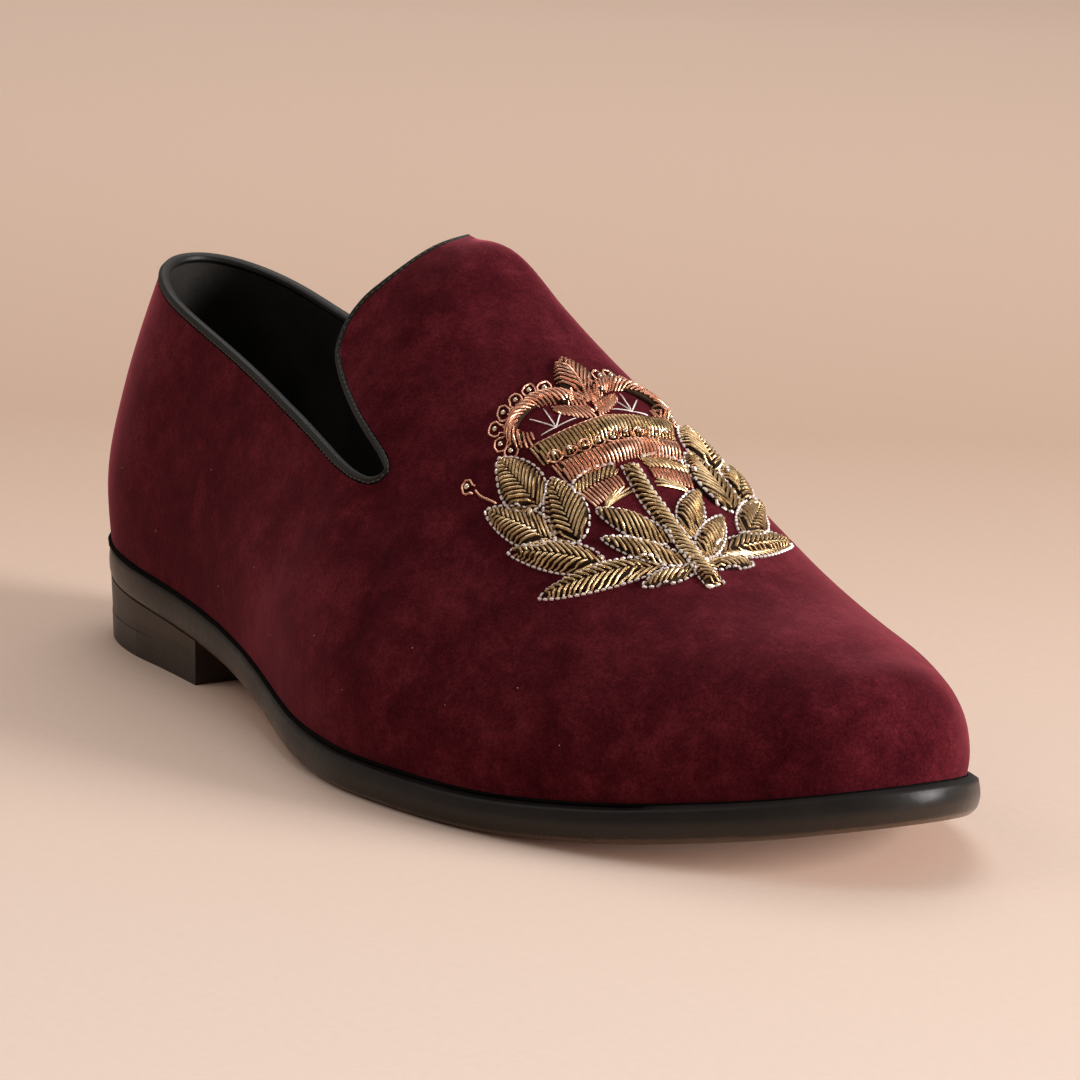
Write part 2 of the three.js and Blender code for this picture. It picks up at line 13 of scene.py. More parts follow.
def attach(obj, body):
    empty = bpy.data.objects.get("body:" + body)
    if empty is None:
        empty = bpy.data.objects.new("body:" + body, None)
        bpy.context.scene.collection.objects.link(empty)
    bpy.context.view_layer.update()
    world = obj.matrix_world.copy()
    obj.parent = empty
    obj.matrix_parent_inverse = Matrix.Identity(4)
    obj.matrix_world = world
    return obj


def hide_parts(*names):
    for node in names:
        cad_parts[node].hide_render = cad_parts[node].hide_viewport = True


MM = 0.001
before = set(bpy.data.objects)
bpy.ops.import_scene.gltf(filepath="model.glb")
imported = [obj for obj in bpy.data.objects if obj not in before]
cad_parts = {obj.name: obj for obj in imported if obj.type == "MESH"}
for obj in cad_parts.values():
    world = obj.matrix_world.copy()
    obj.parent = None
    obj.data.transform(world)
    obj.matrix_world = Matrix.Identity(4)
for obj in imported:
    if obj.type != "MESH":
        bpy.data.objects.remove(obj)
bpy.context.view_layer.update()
scene = bpy.context.scene
draw = random.Random(7)

# The shoe's own origin lies at the back of the outsole; the row frame's lies in the middle of the box
HEEL_BACK_X = -149.448
MERGE = 1e-5
SUBDIVISIONS = 2
SHARP_ANGLE = math.radians(38)


# Node trees


def add(tree, kind, settings=None, **sockets):
    """One shader node with its settings, its plain socket values and its links."""
    made = tree.nodes.new("ShaderNode" + kind)
    for key, value in (settings or {}).items():
        setattr(made, key, value)
    for key, value in sockets.items():
        socket = made.inputs[int(key[1:]) if key[0] == "_" else key.replace("_", " ")]
        if isinstance(value, bpy.types.NodeSocket):
            tree.links.new(value, socket)
        else:
            socket.default_value = value
    return made


def ramp(tree, factor, *stops):
    """A colour ramp of stops (place, colour or grey)."""
    made = add(tree, "ValToRGB", Fac=factor)
    elements = made.color_ramp.elements
    while len(elements) < len(stops):
        elements.new(0.5)
    for element, (place, colour) in zip(elements, stops):
        element.position = place
        grey = isinstance(colour, (int, float))
        element.color = (colour,) * 3 + (1,) if grey else (*colour, 1)
    return made.outputs["Color"]


def blend(tree, share, first, second, how="MIX"):
    """Two colours mixed; each may be a socket or a colour."""
    settings = {"data_type": "RGBA", "blend_type": how}
    as_colour = lambda c: c if isinstance(c, bpy.types.NodeSocket) else (*c, 1)
    made = add(tree, "Mix", settings, _0=share, _6=as_colour(first), _7=as_colour(second))
    return made.outputs[2]


def maths(tree, operation, first, second=0.0, third=0.0):
    made = add(tree, "Math", {"operation": operation}, _0=first, _1=second, _2=third)
    return made.outputs[0]


def object_place(tree):
    return add(tree, "TexCoord").outputs["Object"]


def attribute(tree, name):
    return add(tree, "Attribute", {"attribute_name": name}).outputs["Fac"]


def noise(tree, place, scale, detail=2.0, roughness=0.5, distortion=0.0):
    made = add(tree, "TexNoise", Vector=place, Scale=scale, Detail=detail)
    made.inputs["Roughness"].default_value = roughness
    made.inputs["Distortion"].default_value = distortion
    return made.outputs["Fac"]


def bump(tree, height, depth, strength=1.0, below=None):
    made = add(tree, "Bump", Height=height, Distance=depth, Strength=strength)
    if below is not None:
        tree.links.new(below, made.inputs["Normal"])
    return made.outputs["Normal"]


def finish(name):
    """A new material: its node tree and its shader."""
    made = bpy.data.materials.new(name)
    made.use_nodes = True
    return made, made.node_tree, made.node_tree.nodes["Principled BSDF"]


def wire(tree, shader, **sockets):
    for key, value in sockets.items():
        socket = shader.inputs[key.replace("_", " ")]
        if isinstance(value, bpy.types.NodeSocket):
            tree.links.new(value, socket)
        else:
            socket.default_value = value


def group(name, inputs, outputs):
    """A shader node group with named sockets: its tree, and its input and output nodes."""
    tree = bpy.data.node_groups.new(name, "ShaderNodeTree")
    for label, value in inputs.items():
        socket = tree.interface.new_socket(label, in_out="INPUT", socket_type="NodeSocketFloat")
        socket.default_value = value
    for label, kind in outputs.items():
        tree.interface.new_socket(label, in_out="OUTPUT", socket_type="NodeSocket" + kind)
    return tree, tree.nodes.new("NodeGroupInput"), tree.nodes.new("NodeGroupOutput")


def use_group(tree, made, **values):
    node = tree.nodes.new("ShaderNodeGroup")
    node.node_tree = made
    for key, value in values.items():
        socket = node.inputs[key.replace("_", " ")]
        if isinstance(value, bpy.types.NodeSocket):
            tree.links.new(value, socket)
        else:
            socket.default_value = value
    return node.outputs


# Effects that several finishes share


def leather_grain_group():
    """Pebbled grain with fine pores: a height, and a mask of worn high spots."""
    tree, given, out = group(
        "leather_grain",
        {"Grain Size": 900.0, "Wear Size": 60.0},
        {"Height": "Float", "Wear": "Float"},
    )
    place = object_place(tree)
    cells = add(tree, "TexVoronoi", Vector=place, Scale=given.outputs["Grain Size"])
    pebbles = ramp(tree, cells.outputs["Distance"], (0.0, 0.0), (0.75, 1.0))
    fine = add(tree, "TexNoise", Vector=place, Detail=4.0)
    tree.links.new(maths(tree, "MULTIPLY", given.outputs["Grain Size"], 2.2), fine.inputs["Scale"])
    height = maths(tree, "ADD", pebbles, maths(tree, "MULTIPLY", fine.outputs["Fac"], 0.6))
    tree.links.new(height, out.inputs["Height"])
    broad = add(tree, "TexNoise", Vector=place, Detail=5.0, Scale=given.outputs["Wear Size"])
    worn = ramp(tree, broad.outputs["Fac"], (0.42, 0.0), (0.7, 1.0))
    tree.links.new(worn, out.inputs["Wear"])
    return tree


def coil_group():
    """Close windings of fine wire along a thread: a ridge height and a tarnish mask."""
    tree, given, out = group(
        "wound_wire", {"Windings": 22.0, "Tarnish Size": 160.0}, {"Ridge": "Float", "Tarnish": "Float"}
    )
    along = add(tree, "SeparateXYZ", Vector=add(tree, "UVMap").outputs["UV"])
    turns = maths(tree, "MULTIPLY", along.outputs["X"], given.outputs["Windings"])
    ridge = maths(tree, "PINGPONG", maths(tree, "ADD", turns, along.outputs["Y"]), 0.5)
    tree.links.new(maths(tree, "MULTIPLY", ridge, 2.0), out.inputs["Ridge"])
    spots = add(tree, "TexNoise", Vector=object_place(tree), Detail=3.0, Scale=given.outputs["Tarnish Size"])
    tree.links.new(ramp(tree, spots.outputs["Fac"], (0.35, 0.0), (0.68, 1.0)), out.inputs["Tarnish"])
    return tree


GRAIN = leather_grain_group()
COIL = coil_group()


# Finishes


def velvet_finish():
    """Short pile, brushed into lighter and darker patches."""
    made, tree, shader = finish("burgundy_velvet")
    place = object_place(tree)
    patches = noise(tree, place, 42.0, 3.0, 0.55, 0.3)
    strokes = noise(tree, place, 150.0, 3.0, 0.6, 0.2)
    tufts = noise(tree, place, 700.0, 3.0, 0.65)
    pile = noise(tree, place, 1900.0, 2.0)
    nap = maths(tree, "MULTIPLY_ADD", patches, 0.42, maths(tree, "MULTIPLY", strokes, 0.36))
    nap = maths(tree, "MULTIPLY_ADD", tufts, 0.22, nap)
    colour = ramp(
        tree,
        nap,
        (0.37, (0.031, 0.0026, 0.0051)),
        (0.50, (0.057, 0.0056, 0.0091)),
        (0.63, (0.098, 0.0120, 0.0178)),
    )
    speck = ramp(tree, pile, (0.34, 0.72), (0.68, 1.28))
    wire(
        tree,
        shader,
        Base_Color=blend(tree, 1.0, colour, speck, "MULTIPLY"),
        Roughness=0.95,
        Specular_IOR_Level=0.02,
        Sheen_Weight=0.55,
        Sheen_Roughness=0.32,
        Sheen_Tint=(0.95, 0.22, 0.29, 1),
        Normal=bump(tree, tufts, 0.25 * MM, 0.25),
    )
    return made


def leather_finish(name, colour, worn, roughness, grain, depth, coat=0.0, gloss=0.5):
    """Dyed leather: grain, a worn tone on the high spots and a slightly uneven gloss."""
    made, tree, shader = finish(name)
    look = use_group(tree, GRAIN, Grain_Size=grain, Wear_Size=55.0)
    uneven = ramp(tree, look["Wear"], (0.0, roughness), (1.0, roughness + 0.14))
    wire(
        tree,
        shader,
        Base_Color=blend(tree, look["Wear"], colour, worn),
        Roughness=uneven,
        Specular_IOR_Level=gloss,
        Coat_Weight=coat,
        Coat_Roughness=0.25,
        Normal=bump(tree, look["Height"], depth, 0.5),
    )
    return made


def burnished_edge_finish():
    """Waxed sole edge: black at the top, partly dye and partly painted shade under the velvet; browner below, rubbed
    pale along its lower corner.
    """
    made, tree, shader = finish("burnished_edge")
    look = use_group(tree, GRAIN, Grain_Size=420.0, Wear_Size=70.0)
    height = attribute(tree, EDGE_HEIGHT)
    streaks = noise(tree, object_place(tree), 260.0, 4.0, 0.6)
    ragged = maths(tree, "MULTIPLY_ADD", streaks, 0.08, maths(tree, "SUBTRACT", height, 0.04))
    worn_low = [(0.03, (0.085, 0.050, 0.032)), (0.09, (0.028, 0.0185, 0.0130))]
    # The near-black top of both tones is partly the edge's dye and partly painted shade under the overhanging velvet.
    heel_tone_and_shade = ramp(tree, ragged, *worn_low, (0.80, (0.026, 0.0170, 0.0120)), (0.95, (0.0050, 0.0040, 0.0036)))
    front_tone_and_shade = ramp(
        tree,
        ragged,
        *worn_low,
        (0.34, (0.022, 0.0150, 0.0112)),
        (0.54, (0.0066, 0.0054, 0.0050)),
        (0.95, (0.0026, 0.0024, 0.0024)),
    )
    along = add(tree, "SeparateXYZ", Vector=object_place(tree)).outputs["X"]
    forward = ramp(tree, maths(tree, "MULTIPLY_ADD", along, 10.0, 1.4), (0.3, 0.0), (0.7, 1.0))
    # dyed carries the dye and the painted shade at the top of the edge.
    dyed = blend(tree, forward, heel_tone_and_shade, front_tone_and_shade)
    dull = ramp(tree, ragged, (0.3, 0.24), (0.75, 0.34), (1.0, 0.65))
    wire(
        tree,
        shader,
        Base_Color=blend(tree, maths(tree, "MULTIPLY", look["Wear"], 0.35), dyed, (0.026, 0.019, 0.016)),
        Roughness=maths(tree, "MULTIPLY_ADD", look["Wear"], 0.12, dull),
        Specular_IOR_Level=0.22,
        Normal=bump(tree, look["Height"], 0.05 * MM, 0.5),
    )
    return made


def heel_finish():
    """Stacked leather lifts, dyed black-brown and burnished; fine lines between the lifts."""
    made, tree, shader = finish("burnished_heel_stack")
    place = object_place(tree)
    look = use_group(tree, GRAIN, Grain_Size=360.0, Wear_Size=48.0)
    level = add(tree, "SeparateXYZ", Vector=place).outputs["Z"]
    tone = ramp(
        tree,
        maths(tree, "MULTIPLY", level, 1 / (28 * MM)),
        (0.0, (0.0135, 0.0088, 0.0062)),
        (0.26, (0.016, 0.0105, 0.0074)),
        (0.32, (0.032, 0.0180, 0.0105)),
        (0.9, (0.034, 0.0192, 0.0112)),
    )
    waved = maths(tree, "MULTIPLY_ADD", noise(tree, place, 60.0, 2.0), 0.5, maths(tree, "DIVIDE", level, LIFT * MM))
    gap = ramp(tree, maths(tree, "PINGPONG", waved, 0.5), (0.0, 0.62), (0.07, 1.0))
    wire(
        tree,
        shader,
        Base_Color=blend(
            tree, 1.0, blend(tree, maths(tree, "MULTIPLY", look["Wear"], 0.5), tone, (0.046, 0.028, 0.019)), gap, "MULTIPLY"
        ),
        Roughness=ramp(tree, look["Wear"], (0.0, 0.40), (1.0, 0.52)),
        Specular_IOR_Level=0.3,
        Normal=bump(tree, look["Height"], 0.06 * MM, 0.5, bump(tree, gap, 0.1 * MM, 0.5)),
    )
    return made


def thread_finish(name, colour, dark, roughness, windings):
    """Wound metal wire with tarnish spots, and painted shade in the grooves between its windings."""
    made, tree, shader = finish(name)
    look = use_group(tree, COIL, Windings=windings, Tarnish_Size=430.0)
    tone = blend(tree, look["Tarnish"], colour, dark)
    # Painted shade: the colour darkens in the grooves between the windings, where the ridge falls.
    grooves = ramp(tree, look["Ridge"], (0.0, 0.45), (0.6, 1.0))
    wire(
        tree,
        shader,
        Base_Color=blend(tree, 1.0, tone, grooves, "MULTIPLY"),
        Metallic=1.0,
        Roughness=ramp(tree, look["Tarnish"], (0.0, roughness), (1.0, roughness + 0.12)),
        Normal=bump(tree, look["Ridge"], 0.08 * MM, 0.6),
    )
    return made


def plain_metal_finish(name, colour, roughness):
    made, tree, shader = finish(name)
    spots = noise(tree, object_place(tree), 700.0, 3.0)
    wire(
        tree,
        shader,
        Base_Color=blend(tree, ramp(tree, spots, (0.3, 0.0), (0.75, 0.6)), colour, [c * 0.45 for c in colour]),
        Metallic=1.0,
        Roughness=ramp(tree, spots, (0.3, roughness), (0.7, roughness + 0.15)),
    )
    return made


def cotton_finish(name, colour):
    """Waxed sewing thread or loose fibre."""
    made, tree, shader = finish(name)
    twist = noise(tree, object_place(tree), 2200.0, 2.0)
    wire(
        tree,
        shader,
        Base_Color=blend(tree, twist, colour, [c * 1.9 for c in colour]),
        Roughness=ramp(tree, twist, (0.3, 0.55), (0.7, 0.75)),
        Specular_IOR_Level=0.3,
    )
    return made


def floor_finish():
    """Pale paper with painted light falloff: brightest in front, darkest some way behind the shoe, lighter again far
    back.
    """
    made, tree, shader = finish("pale_paper")
    place = object_place(tree)
    parts = add(tree, "SeparateXYZ", Vector=place).outputs
    depth = maths(tree, "MULTIPLY_ADD", parts["X"], -0.82, maths(tree, "MULTIPLY", parts["Y"], 0.57))
    # Painted light: this tone stands in for the light falling off with depth across the set.
    tone = ramp(
        tree,
        maths(tree, "MULTIPLY_ADD", depth, 0.5, 0.25),
        (0.10, (0.720, 0.580, 0.502)),
        (0.28, (0.655, 0.500, 0.414)),
        (0.45, (0.525, 0.369, 0.281)),
        (0.70, (0.650, 0.474, 0.379)),
        (1.00, (0.780, 0.588, 0.480)),
    )
    grain = ramp(tree, noise(tree, place, 420.0, 3.0), (0.3, 0.985), (0.7, 1.015))
    wire(
        tree,
        shader,
        Base_Color=blend(tree, 1.0, tone, grain, "MULTIPLY"),
        Roughness=0.85,
        Specular_IOR_Level=0.15,
    )
    return made


EDGE_HEIGHT = "edge_height"
LIFT = 4.6  # one leather lift of the heel, in mm
VELVET = velvet_finish()
LINING = leather_finish("black_lining", (0.012, 0.010, 0.009), (0.020, 0.017, 0.015), 0.62, 700.0, 0.08 * MM, gloss=0.3)
BINDING = leather_finish("black_binding", (0.0045, 0.0042, 0.0040), (0.010, 0.009, 0.008), 0.46, 1300.0, 0.05 * MM, gloss=0.22)
# Matte near-black strip: partly a rand, partly painted shade in the joint under the velvet.
RAND_AND_SHADE = leather_finish("black_rand_and_shade", (0.0030, 0.0028, 0.0027), (0.0055, 0.0050, 0.0046), 0.9, 1300.0, 0.05 * MM, gloss=0.04)
INSOLE = leather_finish("black_insole", (0.011, 0.0095, 0.0085), (0.017, 0.0145, 0.013), 0.9, 700.0, 0.08 * MM, gloss=0.04)
EDGE = burnished_edge_finish()
HEEL_BLACK = heel_finish()
TAN = leather_finish("tan_sole_leather", (0.50, 0.31, 0.19), (0.42, 0.25, 0.145), 0.5, 300.0, 0.06 * MM)
RUBBER = leather_finish("heel_rubber", (0.010, 0.010, 0.010), (0.018, 0.018, 0.018), 0.7, 520.0, 0.06 * MM, gloss=0.3)
GOLD = thread_finish("antique_gold_thread", (0.86, 0.62, 0.34), (0.36, 0.215, 0.10), 0.2, 26.0)
COPPER = thread_finish("rose_gold_thread", (0.95, 0.53, 0.37), (0.62, 0.27, 0.17), 0.2, 26.0)
SILVER = plain_metal_finish("silver_wire", (0.98, 0.88, 0.84), 0.42)
BEAD = plain_metal_finish("pale_bead", (0.80, 0.70, 0.54), 0.12)
# Padding under the goldwork, made near black so that it also paints the shade in the gaps between the coils.
BACKING_AND_GAP_SHADE = leather_finish("gold_thread_backing_gap_shade", (0.030, 0.0160, 0.0080), (0.009, 0.0040, 0.0026), 0.8, 1800.0, 0.1 * MM, gloss=0.1)
SEWING = cotton_finish("grey_sewing_thread", (0.045, 0.038, 0.034))
LINT = cotton_finish("pale_lint", (0.20, 0.13, 0.115))
GROOVE = leather_finish("sole_groove", (0.085, 0.050, 0.030), (0.060, 0.034, 0.020), 0.6, 900.0, 0.04 * MM)


# Pieces


def mesh_of(work):
    mesh = bpy.data.meshes.new("piece")
    work.to_mesh(mesh)
    work.free()
    return mesh


def show(name, mesh, slot, *materials):
    """A mesh as a piece that rides on the shoe and wears the given materials; slot is not used."""
    mesh.name = name
    for material in materials:
        mesh.materials.append(material)
    mesh.shade_smooth()
    mesh.set_sharp_from_angle(angle=SHARP_ANGLE)
    piece = bpy.data.objects.new(name, mesh)
    scene.collection.objects.link(piece)
    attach(piece, "root")
    return piece


def quads_of(node):
    """A merged copy of a CAD node with its triangles joined to quads and its sharp edges creased."""
    work = bmesh.new()
    work.from_mesh(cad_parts[node].data)
    bmesh.ops.remove_doubles(work, verts=work.verts, dist=MERGE)
    bmesh.ops.join_triangles(
        work, faces=work.faces, angle_face_threshold=math.radians(40), angle_shape_threshold=math.radians(70)
    )
    crease = work.edges.layers.float.new("crease_edge")
    for edge in work.edges:
        if len(edge.link_faces) == 2 and edge.calc_face_angle() > SHARP_ANGLE:
            edge[crease] = 1.0
    return work


def rounded(mesh, levels=SUBDIVISIONS):
    """The mesh as a subdivision surface leaves it."""
    holder = bpy.data.objects.new("rounding", mesh)
    scene.collection.objects.link(holder)
    surface = holder.modifiers.new("rounding", "SUBSURF")
    surface.levels = surface.render_levels = levels
    graph = bpy.context.evaluated_depsgraph_get()
    made = bpy.data.meshes.new_from_object(holder.evaluated_get(graph))
    bpy.data.objects.remove(holder)
    bpy.data.meshes.remove(mesh)
    return made


def tree_of(mesh):
    work = bmesh.new()
    work.from_mesh(mesh)
    tree = BVHTree.FromBMesh(work)
    work.free()
    return tree


def points_of(mesh):
    flat = np.empty(len(mesh.vertices) * 3)
    mesh.vertices.foreach_get("co", flat)
    return flat.reshape(-1, 3)


class Wires:
    """Wires of one finish: each is a line of points with a thickness, and all become one mesh."""

    def __init__(self, name, slot, material, sides=2):
        self.name, self.slot, self.material = name, slot, material
        self.curve = bpy.data.curves.new(name, "CURVE")
        self.curve.dimensions = "3D"
        self.curve.bevel_depth = MM
        self.curve.bevel_resolution = sides
        self.curve.use_fill_caps = True

    def run(self, points, radii, closed=False):
        """A wire through points, with a radius in mm at each."""
        spline = self.curve.splines.new("POLY")
        spline.points.add(len(points) - 1)
        spline.use_cyclic_u = closed
        for knot, point, radius in zip(spline.points, points, radii):
            knot.co = (*point, 1)
            knot.radius = radius

    def lay(self, line, radius, lift=0.8, sunk=0.1, taper=0.75, closed=False):
        """A wire over (u, v) points of the vamp; its ends are thinner and lie lower than its middle."""
        inner = len(line) - 2
        ends = lambda end, middle: [middle] * len(line) if closed else [end, *[middle] * inner, end]
        points = [seat(u, v, height) for (u, v), height in zip(line, ends(radius * sunk, radius * lift))]
        self.run(points, ends(radius * taper, radius), closed)

    def done(self):
        holder = bpy.data.objects.new(self.name + "_line", self.curve)
        scene.collection.objects.link(holder)
        graph = bpy.context.evaluated_depsgraph_get()
        mesh = bpy.data.meshes.new_from_object(holder.evaluated_get(graph))
        bpy.data.objects.remove(holder)
        bpy.data.curves.remove(self.curve)
        return show(self.name, mesh, self.slot, self.material)


def spread_beads(name, slot, material, places, sides=8, rings=5):
    """Beads at places (point, radius in mm), joined in one mesh."""
    work = bmesh.new()
    for place, radius in places:
        spot_matrix = Matrix.Translation(place) @ Matrix.Scale(radius * MM, 4)
        bmesh.ops.create_uvsphere(work, u_segments=sides, v_segments=rings, radius=1, matrix=spot_matrix)
    return show(name, mesh_of(work), slot, material)


def even_steps(points, step, closed=False):
    """Points at even steps (in the points' own unit) along a line."""
    array = np.array(list(points) + (list(points[:1]) if closed else []), float)
    run = np.concatenate([[0], np.cumsum(np.linalg.norm(np.diff(array, axis=0), axis=1))])
    count = max(int(run[-1] / step), 2)
    places = np.linspace(0, run[-1], count + 1)[: None if not closed else -1]
    return np.stack([np.interp(places, run, array[:, k]) for k in range(array.shape[1])], axis=1)


# Upper, binding and lining


FOOT_BACK, FOOT_FRONT = -105.0, 110.0  # x of the ends of the foot's middle line
THICKEST_WALL = 4.0
TOP_LINE_ABOVE = 45.0  # the top line lies above this height, the feather line below it
CREASES = [
    # x and z of the start and the end on the shoe's side, width, depth, in mm
    ((6, 58), (26, 36), 7.0, 0.7),
    ((-16, 54), (-34, 30), 10.0, 0.4),
    ((-96, 52), (-112, 30), 9.0, 0.35),
]
BINDING_DRAWN_IN = 0.08
BINDING_SETTLED = 0.42
STITCH_PITCH = 1.7
STITCH_LENGTH = 1.0
RAND_AND_SHADE_RADII = [(-20, 0.75), (60, 0.45)]  # x and radius of the black strip, partly painted shade: it shows at the heel and waist, less at the front
STITCH_DROP = 0.45  # from the edge of the velvet down to the row of stitches


def underside(face):
    return 1 if face.normal.z < -0.9 else 0


def outer_faces(work):
    """Faces of the upper's outer wall: they look away from the foot and have the inner wall close behind."""
    tree = BVHTree.FromBMesh(work)
    found = set()
    for face in work.faces:
        middle = face.calc_center_median()
        foot = Vector((min(max(middle.x, FOOT_BACK * MM), FOOT_FRONT * MM), 4 * MM, 30 * MM))
        behind = tree.ray_cast(middle - face.normal * 0.2 * MM, -face.normal)[3]
        thin = behind is not None and behind < THICKEST_WALL * MM
        if thin and face.normal.dot(middle - foot) > 0 and not underside(face):
            found.add(face)
    return found


def rim_of(work, outer, upper=True):
    """The upper or lower edge of the outer wall as an ordered ring of points, each with its way into the wall."""
    rim = [
        edge
        for edge in work.edges
        if sum(face in outer for face in edge.link_faces) == 1
        and (min(v.co.z for v in edge.verts) > TOP_LINE_ABOVE * MM) == upper
    ]
    steps = {}
    for edge in rim:
        wall = next(face for face in edge.link_faces if face in outer)
        a, b = edge.verts
        down = wall.calc_center_median() - (a.co + b.co) / 2
        down -= down.project(b.co - a.co)
        for here, there in ((a, b), (b, a)):
            steps.setdefault(here, []).append((there, down.normalized()))
    start = max(steps, key=lambda vert: vert.co.x)
    ring, here, before = [], start, None
    while True:
        onward = [step for step in steps[here] if step[0] is not before]
        ring.append((here.co.copy(), onward[0][1].copy()))
        here, before = onward[0][0], here
        if here is start or len(ring) > len(steps):
            return ring


def flank(tree, x, z, side):
    """The point of the wall at x and z (mm), seen from one side."""
    return tree.ray_cast(Vector((x * MM, side * 0.2, z * MM)), Vector((0, -side, 0)))[0]


def press_creases(mesh):
    """Soft troughs in the outer wall, on both sides of the shoe."""
    tree = tree_of(mesh)
    points = points_of(mesh)
    normals = np.array([v.normal for v in mesh.vertices])
    pressed = np.zeros(len(points))
    for start, end, width, depth in CREASES:
        for side in (-1, 1):
            line = [flank(tree, *np.array(start) + (np.array(end) - start) * t, side) for t in np.linspace(0, 1, 9)]
            away = np.min([np.linalg.norm(points - np.array(p), axis=1) for p in line], axis=0) / MM
            facing = np.clip(normals[:, 1] * side * 3, 0, 1)
            pressed += depth * np.exp(-((away / width) ** 2)) * facing
    mesh.vertices.foreach_set("co", (points - normals * pressed[:, None] * MM).ravel())


def make_upper():
    """Velvet outside, lining inside and under the binding; also gives the top line and the feather line."""
    work = quads_of("upper")
    outer = outer_faces(work)
    for face in work.faces:
        face.material_index = 0 if face in outer else 1
    rings = rim_of(work, outer), rim_of(work, outer, upper=False)
    mesh = rounded(mesh_of(work))
    press_creases(mesh)
    piece = show("velvet_upper", mesh, "velvet", VELVET, LINING)
    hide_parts("upper")
    return piece, *rings


def make_rounded(node, name, slot, *materials, pick=None, close=()):
    """A CAD node's own shape, rounded between its sharp edges.

    pick gives each face its material; close lists the directions in which the piece
    grows to meet its neighbour.
    """
    work = quads_of(node)
    if pick:
        crease = work.edges.layers.float["crease_edge"]
        for face in work.faces:
            face.material_index = pick(face)
        for edge in work.edges:
            if len({face.material_index for face in edge.link_faces}) > 1:
                edge[crease] = 1.0
    for way in close:
        for vert in {v for face in work.faces if face.normal.dot(way) > 0.75 for v in face.verts}:
            vert.co += way * GAP * MM
    piece = show(name, rounded(mesh_of(work)), slot, *materials)
    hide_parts(node)
    return piece


def make_binding(ring):
    """The rolled leather edge, drawn in all round and settled on the edge of the velvet."""
    mesh = rounded(mesh_of(quads_of("topline_binding")))
    places = np.array([place for place, _ in ring])
    ways = np.array([down for _, down in ring])
    settled = []
    for vert in mesh.vertices:
        away = np.linalg.norm(places - np.array(vert.co), axis=1)
        near = np.argsort(away)[:4]
        down = Vector((ways[near] / (away[near] + MM)[:, None]).sum(axis=0)).normalized()
        settled.append(vert.co - vert.normal * BINDING_DRAWN_IN * MM + down * BINDING_SETTLED * MM)
    mesh.vertices.foreach_set("co", np.array(settled).ravel())
    piece = show("bound_top_line", mesh, "binding_leather", BINDING)
    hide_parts("topline_binding")
    return piece


def sew_top_line(ring, binding):
    """A row of fine stitches along the lower edge of the binding."""
    sewn = Wires("binding_stitches", "binding_leather", SEWING, sides=1)
    tree = tree_of(binding.data)
    points = [list(place / MM) + list(down) for place, down in ring]
    array = np.array(points + points[:1])
    run = np.concatenate([[0], np.cumsum(np.linalg.norm(np.diff(array[:, :3], axis=0), axis=1))])
    at = lambda place: np.array([np.interp(place % run[-1], run, array[:, k]) for k in range(6)])
    for place in np.arange(0, run[-1] - STITCH_PITCH / 2, STITCH_PITCH):
        stitch = []
        for share in (-0.5, 0, 0.5):
            knot = at(place + share * STITCH_LENGTH)
            edge, down = Vector(knot[:3] * MM), Vector(knot[3:]).normalized()
            out = velvet_tree.find_nearest(edge + down * 3 * MM)[1]
            seated, away = tree.find_nearest(edge + down * STITCH_DROP * MM + out * 2 * MM)[:2]
            stitch.append(seated + away * (0.06 if share == 0 else -0.1) * MM)
        sewn.run(stitch, (0.14, 0.2, 0.14))
    return sewn.done()


def lay_rand_and_shade(ring):
    """The narrow black strip in the joint between the velvet and the sole: partly a rand, partly painted shade under
    the velvet's edge.
    """
    rand_and_shade = Wires("feather_line_rand_and_shade", "binding_leather", RAND_AND_SHADE, sides=1)
    points = even_steps([place for place, _ in ring], 2 * MM, closed=True)
    rand_and_shade.run(points, np.interp(points[:, 0] / MM, *zip(*RAND_AND_SHADE_RADII)), closed=True)
    return rand_and_shade.done()


GAP = 0.33  # the joint between two CAD solids, closed where light would show through
UP, BACK = Vector((0, 0, 1)), Vector((-1, 0, 0))
upper, top_line, feather_line = make_upper()
velvet_tree = tree_of(upper.data)
bound = make_binding(top_line)
sew_top_line(top_line, bound)
lay_rand_and_shade(feather_line)
outsole = make_rounded("outsole", "leather_outsole", "sole_leather", EDGE, TAN, pick=underside, close=[UP])
make_rounded("heel_stack", "stacked_heel", "heel_leather", HEEL_BLACK, close=[UP])
make_rounded("heel_tip_front", "heel_tip_leather", "tan_leather", HEEL_BLACK, TAN, pick=underside, close=[UP, BACK])
make_rounded("heel_tip_rear", "heel_tip_rubber", "rubber", HEEL_BLACK, RUBBER, pick=underside, close=[UP])
make_rounded("insole", "lined_insole", "lining", INSOLE)


# Sole


SOLE_THICKNESS = 7.9
TREAD_COUNT = 42
TREAD_FROM, TREAD_TO = 8.0, 98.0  # x of the first and the last groove


def mark_edge_height(piece):
    """How high each point of the sole lies above the sole's bottom, as a share of its thickness."""
    mesh = piece.data
    points = points_of(mesh)
    bottom = points[[v.normal.z < -0.6 for v in mesh.vertices]]
    heights = []
    for point in points:
        near = np.argmin(np.sum((bottom[:, :2] - point[:2]) ** 2, axis=1))
        heights.append((point[2] - bottom[near, 2]) / (SOLE_THICKNESS * MM))
    layer = mesh.attributes.new(EDGE_HEIGHT, "FLOAT", "POINT")
    layer.data.foreach_set("value", np.clip(heights, 0, 1))


